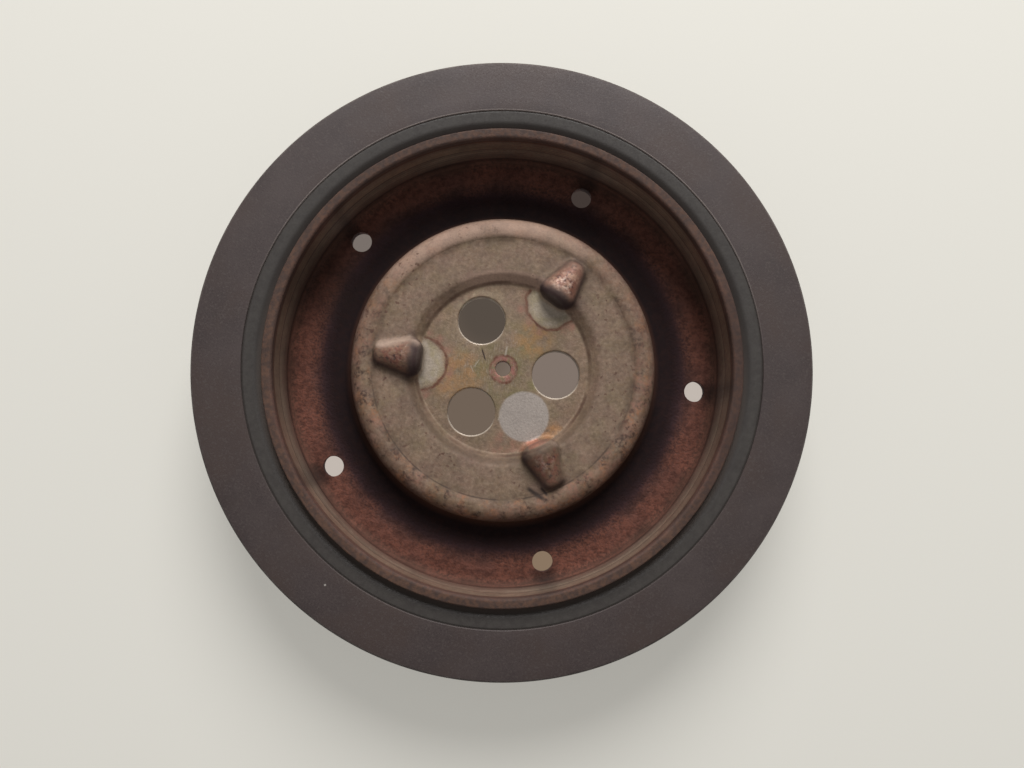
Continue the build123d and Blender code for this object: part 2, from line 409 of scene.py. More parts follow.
for piece, node, slotName in (
    (hubPiece, "hub", "hub_steel"),
    (rubberPiece, "rubber_band", "band_rubber"),
    (ringPiece, "inertia_ring", "ring_iron"),
):
    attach(piece, "root")
    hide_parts(node)


def linear(hexColour):
    # sRGB hex to linear
    parts = [int(hexColour[i : i + 2], 16) / 255 for i in (1, 3, 5)]
    return tuple(p / 12.92 if p <= 0.04045 else ((p + 0.055) / 1.055) ** 2.4 for p in parts) + (1.0,)


def addNode(tree, kind, settings=None, inputs=None):
    # Adds a node, sets it, and links each input that is a node or a socket. Stops are a
    # ramp's places, each with an sRGB hex colour or a plain number.
    node = tree.nodes.new("ShaderNode" + kind)
    for key, value in (settings or {}).items():
        if key != "stops":
            setattr(node, key, value)
            continue
        elements = node.color_ramp.elements
        elements.remove(elements[1])
        for count, (place, colour) in enumerate(value):
            element = elements.new(place) if count else elements[0]
            element.position = place
            element.color = linear(colour) if isinstance(colour, str) else (colour, colour, colour, 1)
    for key, value in (inputs or {}).items():
        if isinstance(value, bpy.types.Node):
            value = next(socket for socket in value.outputs if socket.enabled)
        if isinstance(value, bpy.types.NodeSocket):
            tree.links.new(value, node.inputs[key])
        elif isinstance(value, str):
            node.inputs[key].default_value = linear(value)
        else:
            node.inputs[key].default_value = value
    return node


def newMaterial(name):
    material = bpy.data.materials.new(name)
    material.use_nodes = True
    tree = material.node_tree
    return material, tree, tree.nodes["Principled BSDF"]


smooth = {"interpolation_type": "SMOOTHSTEP"}
product = {"operation": "MULTIPLY"}


def partPlaces(tree):
    # Places on the part in millimetres: the point, the same with no height, its distance
    # from the axis and its height. Side and across are 1 at +Y and at +X on any radius, and
    # the facing values are the surface normal's.
    metres = addNode(tree, "TexCoord").outputs["Object"]
    place = addNode(tree, "VectorMath", {"operation": "SCALE"}, {0: metres, "Scale": 1000.0})
    flat = addNode(tree, "VectorMath", {"operation": "MULTIPLY"}, {0: place, 1: (1, 1, 0)})
    radius = addNode(tree, "VectorMath", {"operation": "LENGTH"}, {0: flat})
    height = addNode(tree, "SeparateXYZ", {}, {0: place}).outputs["Z"]
    outwards = addNode(tree, "VectorMath", {"operation": "NORMALIZE"}, {0: flat})
    turn = addNode(tree, "SeparateXYZ", {}, {0: outwards})
    normal = addNode(tree, "SeparateXYZ", {}, {0: addNode(tree, "NewGeometry").outputs["Normal"]})
    return SimpleNamespace(
        place=place, flat=flat, radius=radius, height=height, across=turn.outputs["X"],
        side=turn.outputs["Y"], facingUp=normal.outputs["Z"], facingSide=normal.outputs["Y"])


def within(tree, value, low, high, soft):
    # 1 where the value lies between low and high, with soft edges of that width.
    rise = addNode(tree, "MapRange", smooth, {0: value, 1: low - soft / 2, 2: low + soft / 2})
    fall = addNode(tree, "MapRange", smooth, {0: value, 1: high - soft / 2, 2: high + soft / 2, 3: 1.0, 4: 0.0})
    return addNode(tree, "Math", product, {0: rise, 1: fall})


def patches(tree, place, size, share, soft, seed, detail=3.0):
    # Ragged patches about that size which cover about that share of the surface.
    # The seed moves the pattern, by some of its own sizes along each axis.
    shift = (3.7 * seed * size, 7.3 * seed * size, 0)
    moved = addNode(tree, "VectorMath", {"operation": "ADD"}, {0: place, 1: shift})
    noise = addNode(tree, "TexNoise", {}, {"Vector": moved, "Scale": 1 / size, "Detail": detail})
    edge = 0.5 + 0.32 * (0.5 - share)
    return addNode(tree, "MapRange", smooth, {0: noise, 1: edge - soft / 2, 2: edge + soft / 2})


def laid(tree, below, colour, *masks):
    # Lays a colour over what is below, by the product of its masks, of which all but the
    # first may be plain numbers.
    mask = masks[0]
    for other in masks[1:]:
        mask = addNode(tree, "Math", product, {0: mask, 1: other})
    return addNode(tree, "MixRGB", {}, {"Fac": mask, "Color1": below, "Color2": colour})


def scoreMask(tree, flat, scores):
    # Short straight marks: within half the width across each, and half the length along it.
    marks = None
    for middle, turn, length, width in scores:
        own = addNode(tree, "Mapping", {"vector_type": "TEXTURE"}, {
            "Vector": flat, "Location": (*middle, 0), "Rotation": (0, 0, math.radians(turn))})
        parts = addNode(tree, "SeparateXYZ", {}, {0: own})
        along = within(tree, parts.outputs["X"], -length / 2, length / 2, length / 3)
        across = within(tree, parts.outputs["Y"], -width / 2, width / 2, width * 0.8)
        mark = addNode(tree, "Math", product, {0: along, 1: across})
        marks = addNode(tree, "Math", {"operation": "MAXIMUM"}, {0: marks, 1: mark}) if marks else mark
    return marks


def awayFrom(tree, at, centre, ragged, size=2.5):
    # Distance from a point, made uneven by that many millimetres.
    noise = addNode(tree, "TexNoise", {}, {"Vector": at.flat, "Scale": 1 / size, "Detail": 3.0})
    uneven = addNode(tree, "Math", {"operation": "MULTIPLY_ADD"}, {0: noise, 1: 2 * ragged, 2: -ragged})
    away = addNode(tree, "VectorMath", {"operation": "DISTANCE"}, {0: at.flat, 1: (*centre, 0)})
    return addNode(tree, "Math", {"operation": "ADD"}, {0: away, 1: uneven})


def sideMasks(tree, at, sides):
    # Masks by the side of the part, which has hung up for years and takes the lamp's light
    # from +Y: each goes from its least to its most strength between two places along its
    # direction. Some carry wear, and some painted light and shade.
    return {
        name: addNode(tree, "MapRange", smooth, {0: getattr(at, along), 1: start, 2: end, 3: least, 4: most})
        for name, (along, start, end, least, most) in sides.items()
    }


def weathered(tree, colour, look, at, layers, masks):
    # Lays layers of wear, and of painted light and shade, one over another, each by the bands
    # that it keeps to, another mask, its patches and its strength.
    for tint, radii, heights, mask, strength, *grains in layers:
        parts = [within(tree, at.radius, *radii)] if radii else []
        parts += [within(tree, at.height, *heights)] if heights else []
        parts += [masks[mask]] if mask else []
        parts += [patches(tree, at.place, *grain) for grain in grains]
        parts += [strength] if strength < 1 else []
        colour = laid(tree, colour, look["tints"].get(tint, tint), *parts)
    return colour


def grained(tree, at, look):
    # The finest grain, and the roughness that goes with it.
    size, detail, roughness = look["grain"]
    fine = addNode(tree, "TexNoise", {}, {
        "Vector": at.place, "Scale": 1 / size, "Detail": detail, "Roughness": roughness})
    smoothest, roughest = look["roughness"]
    return fine, addNode(tree, "MapRange", {}, {0: fine, 1: 0.3, 2: 0.7, 3: smoothest, 4: roughest})


def plugged(material, **sources):
    # Links what was worked out to the shader's sockets.
    tree = material.node_tree
    for socket, source in sources.items():
        tree.links.new(source.outputs[0], tree.nodes["Principled BSDF"].inputs[socket.replace("_", " ")])
    return material


# In these dictionaries a band is (from, to, softness), along the radius or the height in
# millimetres, and patches are (size, share, softness, seed, detail). A layer is (colour,
# band of radius, band of height, mask, strength, and any patches). A side is (direction,
# from, to, least, most).

# Pressed sheet steel, never painted: a brown film of baked oil over light rust. It gives
# the eye a dull warm grey on the faces that were rubbed, red grain where water stood, and
# dark corners, which are partly a dark film and partly painted shade.
hubFinish = {
    # colour by distance from the axis, for what faces up; from the boss's wall into the channel
    # (38.7 to 46.5 mm) it is darkened, partly as a dark film and partly as painted shade
    "faces": [
        (0, "#7d6b52"), (5, "#7c6a52"), (11, "#86725c"), (19, "#7f6a55"), (21.0, "#826a55"), (21.7, "#8a745f"),
        (23.2, "#846b57"), (24.6, "#776151"), (27, "#7c6654"), (31.5, "#79624f"), (33, "#725b47"),
        (34.4, "#775e4c"), (36.2, "#7a5c49"), (37.6, "#674a3e"), (38.7, "#4c342b"), (40.6, "#1e1415"),
        (44, "#221617"), (46.5, "#362628"), (48.8, "#503833"), (50.5, "#69463d"), (52.5, "#644239"),
        (54.5, "#49352c"),
    ],
    "facesReach": 60,
    # colour by height, for the flange
    "wall": [
        (-8, "#4a342a"), (-3.2, "#553a2f"), (-2.2, "#38261f"), (-1.2, "#685246"), (3.5, "#877363"),
        (4.9, "#857160"), (5.3, "#57433a"), (5.8, "#826c5b"), (9.8, "#7c6656"), (10.6, "#553528"),
        (11.2, "#55423a"), (12.2, "#523e37"), (12.9, "#47362f"),
    ],
    "tints": {
        "under": "#4a362c", "rustRed": "#764b3e", "rustDark": "#2c1b18", "rustOrange": "#96684a",
        "rustPink": "#8f6858", "holeRust": "#8e5f54", "film": "#4a3a2d", "score": "#33261f",
        "stepLine": "#52382c", "drop": "#5c4236", "stainLine": "#5f3a2a", "green": "#756a48",
        "residue": "#8d7f5a", "flank": "#332325", "smudge": "#241a17", "scratch": "#a79c90",
        "paintedLight": "#a28776", "mouth": "#b3a596", "glint": "#d3b9a8", "paintedEdgeHighlight": "#b29a8a",
    },
    "grain": (0.55, 3.0, 0.7), "mottle": (7.0, 5.0, 0.6), "roughness": (0.62, 0.86), "rubbedRoughness": 0.46,
    "metallic": (0.06, 0.30),            # of rust and of rubbed steel
    # rust and baked film hardly shine, least of all in the channel
    "shine": (0.4, 0.12), "channel": (38.4, 54.6, 1.5),
    "relief": (0.4, 0.0002), "drawRelief": (0.5, 0.00015),
    "bossReach": 39.4,
}

bossFinish = {
    # broad stains over every face: colour, size, share, strength
    "stains": (("#6f6547", 5.5, 0.45, 0.34), ("#7d6058", 4.2, 0.42, 0.36), ("#9a8571", 3.4, 0.30, 0.24),
               ("#56453a", 1.3, 0.40, 0.40), ("#9c8875", 0.9, 0.34, 0.30)),
    "stained": (-2, 38.4, 2.0),
    "slant": -0.3,
    "sides": {"low": ("side", 0.35, -0.75, 0, 0.6), "high": ("side", 0.72, 0.98, 0, 1),
              "upper": ("slant", 0.6, 1.02, 0, 0.85), "hung": ("side", 0.95, -0.2, 0.15, 0.8)},
    "layers": [
        # darker on the step's -Y side
        ("film", (22.5, 24.3, 1.3), None, "low", 1),
        # painted light on the step's +Y side, where it faces away from the lamp
        ("paintedLight", (22.0, 24.8, 1.2), None, "high", 1),
        # painted highlight on the rim's +Y side
        ("paintedLight", (33.5, 38.0, 1.4), None, "upper", 1),
        # rust on the rim
        ("rustOrange", (33.0, 38.2, 1.6), None, "hung", 1, (3.4, 0.30, 0.2, 8.8, 4), (0.8, 0.55, 0.4, 9.8)),
        ("rustPink", (33.0, 38.2, 1.6), None, "hung", 1, (4.6, 0.30, 0.2, 2.2, 4), (0.8, 0.55, 0.4, 3.2)),
        ("rustDark", (33.0, 38.2, 1.6), None, "hung", 1, (2.2, 0.30, 0.2, 15, 4), (0.8, 0.55, 0.4, 16)),
        # film left in the crease, with a dark line where the part hung lowest
        ("film", (31.8, 33.6, 1.6), None, None, 0.55, (4, 0.45, 0.4, 7.7)),
        ("score", (32.75, 33.1, 0.3), None, "low", 1, (5, 0.62, 0.2, 6.3)),
        ("stepLine", (21.7, 22.4, 0.5), None, None, 0.75, (7, 0.6, 0.4, 16)),
        # a few spots where drops dried
        ("drop", (24, 38, 1.0), None, None, 1, (1.3, 0.03, 0.1, 11, 2), (11, 0.55, 0.4, 11.6)),
    ],
    # scores and rubs: middle, turn in degrees, length, width
    "scores": (((11.5, -30.3), -28, 5.0, 1.0), ((13.5, -29.5), -44, 2.4, 0.55), ((-5.3, 3.1), -67, 2.8, 0.34)),
    "rubs": (((0.3, 4.6), 84, 2.4, 0.42), ((-6.8, 0.6), 62, 2.2, 0.22), ((-7.8, -0.9), 118, 1.8, 0.2),
             ((0.6, -12.0), 70, 2.4, 0.36)),
    "rubbed": 0.6,
}


def bossWear(tree, colour, at):
    # Broad stains, and rust that ran down to the side that hung lowest over the rim; along the
    # step it is darker towards -Y and has painted light towards +Y, and the rim's +Y side has a
    # painted highlight.
    look = bossFinish
    at.slant = addNode(tree, "Math", {"operation": "MULTIPLY_ADD"}, {0: at.across, 1: look["slant"], 2: at.side})
    stains = [
        (tint, look["stained"], None, None, strength, (size, share, 0.34, 10 * size, 4))
        for tint, size, share, strength in look["stains"]
    ]
    return weathered(tree, colour, hubFinish, at, stains + look["layers"], sideMasks(tree, at, look["sides"]))


discFinish = {
    "reach": (-2, 21.5, 0.5),
    # a greenish cast about the middle
    "green": (6, 0.42, 0.3, 21), "greenReach": (-2, 11, 6.0),
    # how uneven the edges are, and the size of that: of a stain, a print and a wiped spot
    "spotEdge": (1.6, 3.5), "printEdge": (0.15, 2.5), "wipeEdge": (1.3, 4.0),
    # stains: colour, centre, reach, share
    "spots": (("#8f6f4a", (6.9, 8.4), 4.6, 0.6), ("#96734f", (-11.4, -3.0), 6.0, 0.62),
              ("#9c7450", (13.6, -14.4), 2.6, 0.6), ("#a6735f", (9.9, -18.6), 3.4, 0.7),
              ("#8c6a58", (2.5, -19.4), 3.6, 0.5), ("#9a8a72", (-7.5, 14.0), 6.0, 0.4)),
    # the washer's print: centre, reach, colour
    "washer": ((6.6, -11.47), 6.3, "#9d928a"),
    # the wiped spots: centre, reach, colour, seeds of their rings
    "wipes": (((-21.07, -0.92), 6.7, "#a39688", (-0.92, -21.07, -20.07)),
              ((10.59, 17.87), 6.5, "#a89b8c", (17.87, 10.59, 11.59))),
    "wiped": 0.9,
    # rings at a wiped spot's edge: colour, band beyond its reach, patches, strength
    "rings": (("residue", (-3.2, -0.6, 1.6), (2.6, 0.45, 0.4), 0.6),
              ("stainLine", (-0.2, 0.5, 0.5), (2.4, 0.9, 0.5), 1),
              ("rustPink", (0.4, 2.0, 1.8), (2.6, 0.35, 0.4), 1)),
    # the bolt holes' mouths, with a painted highlight on the sides that face +Y, towards the lamp
    "mouthEdge": (-0.3, 0.4, 0.3), "mouthHeight": (-0.9, 1, 0.8), "mouthSide": (0.25, 2, 0.4),
    # rust round the centre hole, off its middle
    "holeCentre": (0.15, -0.1),
    "holeRings": (("holeRust", (1.0, 3.5, 0.7), (1.4, 0.62, 0.4, 35)),
                  ("stainLine", (3.2, 3.8, 0.5), (2.6, 0.55, 0.3, 36))),
    # strokes of a hand brush: turn in degrees, waves per millimetre across and along
    "strokeTurn": -12, "strokeWaves": (3.4, 0.5, 1), "strokeTone": (0.50, 0.72, 0.4),
    "strokeCentre": (-4, 2), "strokeReach": (-9, 10, 8),
}


def clampedFace(tree, colour, at):
    # What the bolts and a washer left on the middle, hand strokes, stains between them, and
    # painted highlights in the bolt holes' mouths.
    look, tints = discFinish, hubFinish["tints"]
    onDisc = within(tree, at.radius, *look["reach"])
    nearMiddle = within(tree, awayFrom(tree, at, (0, 0), 0.5), *look["greenReach"])
    colour = laid(tree, colour, tints["green"], patches(tree, at.flat, *look["green"]), nearMiddle)
    for tint, spot, reach, share in look["spots"]:
        near = within(tree, awayFrom(tree, at, spot, *look["spotEdge"]), -5, reach, 0.9 * reach)
        colour = laid(tree, colour, tint, onDisc, near, patches(tree, at.flat, 2.2, share, 0.34, reach * 7, 4))
    centre, reach, tint = look["washer"]
    printed = within(tree, awayFrom(tree, at, centre, *look["printEdge"]), -2, reach, 0.7)
    colour = laid(tree, colour, tint, onDisc, printed)
    for centre, reach, tint, seeds in look["wipes"]:
        away = awayFrom(tree, at, centre, *look["wipeEdge"])
        colour = laid(tree, colour, tint, onDisc, within(tree, away, -2, reach - 0.8, 2.2), look["wiped"])
        for (tint, (low, high, soft), grain, strength), seed in zip(look["rings"], seeds):
            edge = within(tree, away, reach + low, reach + high, soft)
            broken = patches(tree, at.flat, *grain, seed)
            colour = laid(tree, colour, tints[tint], onDisc, edge, broken, strength)
    # painted highlight on the rounded mouths, on the sides that face +Y
    low, high, soft = look["mouthEdge"]
    upperSide = within(tree, at.height, *look["mouthHeight"]), within(tree, at.facingSide, *look["mouthSide"])
    circle, holeR = hub["boltHoles"]["circle"], hub["boltHoles"]["radius"]
    for angle in np.radians(hub["boltHoles"]["angles"]):
        middle = (circle * math.cos(angle), circle * math.sin(angle), 0)
        away = addNode(tree, "VectorMath", {"operation": "DISTANCE"}, {0: at.flat, 1: middle})
        mouth = within(tree, away, holeR + low, holeR + high, soft)
        colour = laid(tree, colour, tints["mouth"], mouth, *upperSide)
    fromHole = awayFrom(tree, at, look["holeCentre"], 0.55, size=2.2)
    for tint, band, grain in look["holeRings"]:
        colour = laid(tree, colour, tints[tint], within(tree, fromHole, *band), patches(tree, at.flat, *grain))
    brushed = addNode(tree, "Mapping", {}, {
        "Vector": at.flat, "Rotation": (0, 0, math.radians(look["strokeTurn"])), "Scale": look["strokeWaves"]})
    strokes = addNode(tree, "TexNoise", {}, {"Vector": brushed, "Scale": 1.0, "Detail": 4.0, "Roughness": 0.65})
    faint, full, most = look["strokeTone"]
    strokes = addNode(tree, "MapRange", smooth, {0: strokes, 1: faint, 2: full, 4: most})
    stroked = within(tree, awayFrom(tree, at, look["strokeCentre"], 2), *look["strokeReach"])
    return laid(tree, colour, tints["scratch"], onDisc, strokes, stroked), onDisc


noseFinish = {
    # turn, crown's colour, share of rust on it, film on the upper flank, darkening of the broad
    # end, and the strength of the painted highlight along the upper edge
    "each": ((60, "#a5816d", 0.62, 0.6, 0.85, 0.0), (180, "#7a5b48", 0.45, 0.0, 0.85, 0.75),
             (300, "#705340", 0.4, 0.3, 0.12, 0.3)),
    "own": (-2, 7.4, 1.4),
    "crownHeight": (5.0, 20, 2.8), "crownReach": (24.2, 99, 3.4),
    "flankHeight": (3.2, 5.4, 2.4), "broadHeight": (2.0, 20, 2.0), "broadReach": (10, 24.0, 3.4),
    "lowFilm": 0.85, "filmTurn": 0.35,      # film and painted shade on the flank that faces -Y, away from the lamp, and where it goes over
    "glintHeight": (6.0, 20, 1.6), "glints": (0.75, 0.3),    # strength of the painted glints on a nose without and with the painted edge highlight
    "edgeSide": (0.42, 0.92, 0.3), "edgeReach": (21.5, 99, 2.0),
}


def nosesWear(tree, colour, at):
    # A dark film and painted shade on the noses' flanks, darkest on those that face -Y, away
    # from the lamp, and rubbed crowns with painted glints and a painted upper-edge highlight,
    # each a little different.
    look, tints = noseFinish, hubFinish["tints"]
    outwards = awayFrom(tree, at, (0, 0), 1.1, size=3.0)
    crown = addNode(tree, "Math", product, {
        0: within(tree, at.height, *look["crownHeight"]), 1: within(tree, outwards, *look["crownReach"])})
    flank = within(tree, at.height, *look["flankHeight"])
    broadEnd = within(tree, at.height, *look["broadHeight"]), within(tree, outwards, *look["broadReach"])
    edge = within(tree, at.facingSide, *look["edgeSide"]), within(tree, outwards, *look["edgeReach"])
    top = within(tree, at.height, *look["glintHeight"])
    anyNose = 0.0
    for turn, tint, rust, upper, end, edgeHighlight in look["each"]:
        spot = (noses["middle"] * math.cos(math.radians(turn)), noses["middle"] * math.sin(math.radians(turn)))
        own = within(tree, awayFrom(tree, at, spot, 0.4), *look["own"])
        filmedAndShaded = addNode(tree, "MapRange", smooth, {
            0: at.facingSide, 1: look["filmTurn"], 2: -look["filmTurn"], 3: upper, 4: look["lowFilm"]})
        glint = look["glints"][edgeHighlight > 0]
        for over, *masks in (
            # film and painted shade on the flanks, most on those that face -Y; the broad end darkened
            (tints["flank"], flank, filmedAndShaded),
            (tints["flank"], *broadEnd, end),
            (tint, crown),
            (tints["rustRed"], crown, patches(tree, at.place, 1.6, rust, 0.22, turn, 4)),
            (tints["flank"], crown, patches(tree, at.place, 0.9, 0.14, 0.3, turn + 2)),
            # painted glints on the crowns' tops
            (tints["glint"], crown, patches(tree, at.place, 1.0, 0.3, 0.24, turn + 1), top, glint),
            # painted highlight along the edge that faces +Y, towards the lamp
            (tints["paintedEdgeHighlight"], flank, *edge, edgeHighlight),
        ):
            colour = laid(tree, colour, over, own, *masks)
        anyNose = addNode(tree, "Math", {"operation": "MAXIMUM"}, {0: anyNose, 1: own})
    return colour, addNode(tree, "Math", product, {0: anyNose, 1: crown})


flangeFinish = {
    "onWall": (54.2, 90, 0.8),
    "drawLine": 0.55, "drawTone": (0.74, 1.22),
    "sides": {"bared": ("across", 0.72, 1.0, 0, 0.5), "baked": ("side", -0.2, 0.8, 0, 0.2)},
    "grains": (0.6, 0.62, 0.3, 3.1, 4), "coarse": (43.5, 54.6, 3.0),
    # dark runs at the web's holes: radius of their middles, unevenness
    "drains": (53.4, 1.2), "drained": (-5, 2.6, 4.0),
    # a sooty patch: centre, reach
    "soot": (-48.3, 16.3), "sooty": (-5, 8.5, 9.0),
    "channel": [
        ("rustRed", (47.6, 54.8, 4.5), None, "grains", 1, (12, 0.6, 0.3, 1.4)),
        ("rustDark", (40, 54.9, 2.4), None, None, 0.42, (1.5, 0.4, 0.3, 5.5, 4)),
        ("smudge", (40, 55.4, 1.6), None, "drained", 0.7),
        ("smudge", (42, 55.4, 2.0), None, "sooty", 0.5),
    ],
    "lip": [
        ("rustOrange", (55.5, 90, 0.7), (10.4, 14, 0.8), None, 0.16, (1.1, 0.5, 0.3, 14, 4)),
        ("rustDark", (55.5, 90, 0.7), (9.6, 12.4, 0.8), None, 0.6, (1.6, 0.36, 0.2, 14.6, 4)),
        ("rustDark", (55.5, 90, 0.7), None, "dark", 1),
    ],
}


def flangeWear(tree, colour, at):
    # Colour by height up the flange, rust and soot in the channel, draw lines round the
    # flange, and rust where the lip is least sheltered.
    look, stops = flangeFinish, hubFinish["wall"]
    low, high = stops[0][0], stops[-1][0]
    up = addNode(tree, "MapRange", {}, {0: at.height, 1: low, 2: high})
    wall = addNode(tree, "ValToRGB", {"stops": [((z - low) / (high - low), c) for z, c in stops]}, {0: up})
    onWall = within(tree, at.radius, *look["onWall"])
    colour = laid(tree, colour, wall, onWall)
    nearest = None
    middleR, ragged = look["drains"]
    for angle in np.radians(hub["webHoles"]["angles"]):
        away = awayFrom(tree, at, (middleR * math.cos(angle), middleR * math.sin(angle)), ragged)
        nearest = addNode(tree, "Math", {"operation": "MINIMUM"}, {0: nearest, 1: away}) if nearest else away
    masks = sideMasks(tree, at, look["sides"])
    masks["dark"] = addNode(tree, "Math", {"operation": "MAXIMUM"}, {0: masks["bared"], 1: masks["baked"]})
    masks["grains"] = patches(tree, at.place, *look["grains"])
    masks["drained"] = within(tree, nearest, *look["drained"])
    masks["sooty"] = within(tree, awayFrom(tree, at, look["soot"], 2.0, size=5.0), *look["sooty"])
    colour = weathered(tree, colour, hubFinish, at, look["channel"], masks)
    lineHeight = addNode(tree, "Math", {"operation": "DIVIDE"}, {0: at.height, 1: look["drawLine"]})
    linePlace = addNode(tree, "CombineXYZ", {}, {0: lineHeight, 1: at.across})
    lines = addNode(tree, "TexNoise", {"noise_dimensions": "2D"}, {
        "Vector": linePlace, "Scale": 1.0, "Detail": 2.0})
    dark, pale = look["drawTone"]
    lineTone = addNode(tree, "MapRange", {}, {0: lines, 1: 0.3, 2: 0.7, 3: dark, 4: pale})
    drawn = addNode(tree, "VectorMath", {"operation": "SCALE"}, {0: colour, "Scale": lineTone})
    colour = weathered(tree, laid(tree, colour, drawn, onWall), hubFinish, at, look["lip"], masks)
    # coarse grain in the channel and draw lines on the wall
    coarse = addNode(tree, "Math", product, {0: masks["grains"], 1: within(tree, at.radius, *look["coarse"])})
    return colour, coarse, addNode(tree, "Math", product, {0: lines, 1: onWall})


def filmedSteel(onBoss):
    # The boss has the stains, prints and rubbed noses, and all outside it the rust.
    look, tints = hubFinish, hubFinish["tints"]
    name = "pressed steel, rubbed and stained" if onBoss else "pressed steel, rusted"
    material, tree, shader = newMaterial(name)
    at = partPlaces(tree)
    share = addNode(tree, "Math", {"operation": "DIVIDE"}, {0: at.radius, 1: look["facesReach"]})
    stops = [(r / look["facesReach"], c) for r, c in look["faces"]]
    colour = addNode(tree, "ValToRGB", {"stops": stops}, {0: share})
    if onBoss:
        colour = bossWear(tree, colour, at)
        colour, onDisc = clampedFace(tree, colour, at)
        colour = laid(tree, colour, tints["score"], scoreMask(tree, at.flat, bossFinish["scores"]))
        rubs = scoreMask(tree, at.flat, bossFinish["rubs"])
        colour = laid(tree, colour, tints["scratch"], rubs, bossFinish["rubbed"])
        colour, onCrowns = nosesWear(tree, colour, at)
    else:
        colour, coarse, drawHeight = flangeWear(tree, colour, at)
    # mottling of every size down to the grain
    size, detail, roughness = look["mottle"]
    mottle = addNode(tree, "TexNoise", {}, {
        "Vector": at.place, "Scale": 1 / size, "Detail": detail, "Roughness": roughness})
    fine, rough = grained(tree, at, look)
    both = addNode(tree, "Math", {"operation": "ADD"}, {0: mottle, 1: fine})
    tone = addNode(tree, "MapRange", {}, {0: both, 1: 0.6, 2: 1.4, 3: 0.68, 4: 1.32})
    colour = addNode(tree, "VectorMath", {"operation": "SCALE"}, {0: colour, "Scale": tone})
    # underside
    below = addNode(tree, "MapRange", smooth, {0: at.facingUp, 1: -0.1, 2: -0.4})
    under = addNode(tree, "VectorMath", {"operation": "SCALE"}, {0: linear(tints["under"])[:3], "Scale": tone})
    colour = laid(tree, colour, under, below)
    rusty, bare = look["metallic"]
    shader.inputs["Metallic"].default_value = rusty
    relief = fine
    if onBoss:
        # rubbed steel is smoother and shows more metal than rust
        rubbed = addNode(tree, "Math", {"operation": "MAXIMUM"}, {0: onDisc, 1: onCrowns})
        unrusted = addNode(tree, "MapRange", {}, {0: mottle, 1: 0.3, 2: 0.6})
        rubbed = addNode(tree, "Math", product, {0: rubbed, 1: unrusted})
        smoother = (look["rubbedRoughness"],) * 3 + (1,)
        rough = addNode(tree, "MixRGB", {}, {"Fac": rubbed, "Color1": rough, "Color2": smoother})
        plugged(material, Metallic=addNode(tree, "MapRange", {}, {0: rubbed, 3: rusty, 4: bare}))
    else:
        relief = addNode(tree, "Math", {"operation": "ADD"}, {0: fine, 1: coarse})
    inChannel, (shine, channelShine) = within(tree, at.radius, *look["channel"]), look["shine"]
    sheen = addNode(tree, "MapRange", {}, {0: inChannel, 3: shine, 4: channelShine})
    strength, depth = look["relief"]
    bump = addNode(tree, "Bump", {}, {"Strength": strength, "Distance": depth, "Height": relief})
    if not onBoss:
        strength, depth = look["drawRelief"]
        bump = addNode(tree, "Bump", {}, {
            "Strength": strength, "Distance": depth, "Height": drawHeight, "Normal": bump})
    return plugged(material, Base_Color=colour, Roughness=rough, Specular_IOR_Level=sheen, Normal=bump)


# Cured rubber pressed between two metals: soot black gone grey with dust, dull, with a
# faint skin that the mould left.
rubberFinish = {
    # beside the flange, the dark tint is painted shade and the one after it painted light
    "tints": {"black": "#2f2926", "grey": "#342f2b", "dustAndPaintedLight": "#3a3531", "dark": "#2b231f",
              "paintedLightNearLip": "#5b5049", "joint": "#36302d"},
    "mottle": 5.0, "grain": (0.5, 3.0, 0.5), "roughness": (0.55, 0.75), "relief": (0.25, 0.0001),
    "low": ("side", 0.5, -0.6, 0, 1),
    "beside": (50, 59.0, 1.6),
    "layers": [("dustAndPaintedLight", (60.3, 62.6, 1.6), None, None, 1, (1.4, 0.45, 0.4, 3))],
    "joint": (62.7, 70, 0.1),
}


def agedRubber():
    look, tints = rubberFinish, rubberFinish["tints"]
    material, tree, shader = newMaterial("cured rubber")
    at = partPlaces(tree)
    mottle = addNode(tree, "TexNoise", {}, {"Vector": at.place, "Scale": 1 / look["mottle"], "Detail": 4.0})
    colour = addNode(tree, "ValToRGB", {"stops": [(0.35, tints["black"]), (0.65, tints["grey"])]}, {0: mottle})
    masks = sideMasks(tree, at, {"low": look["low"]})
    colour = weathered(tree, colour, look, at, look["layers"], masks)
    # beside the flange, painted light on the -Y side, where the lip's shadow falls, and painted
    # shade on the other side, which faces away from the lamp
    dustAndPaintedLight = laid(tree, linear(tints["dark"]), tints["paintedLightNearLip"], masks["low"])
    colour = laid(tree, colour, dustAndPaintedLight, within(tree, at.radius, *look["beside"]))
    colour = laid(tree, colour, tints["joint"], within(tree, at.radius, *look["joint"]))
    fine, rough = grained(tree, at, look)
    strength, depth = look["relief"]
    bump = addNode(tree, "Bump", {}, {"Strength": strength, "Distance": depth, "Height": fine})
    return plugged(material, Base_Color=colour, Roughness=rough, Normal=bump)


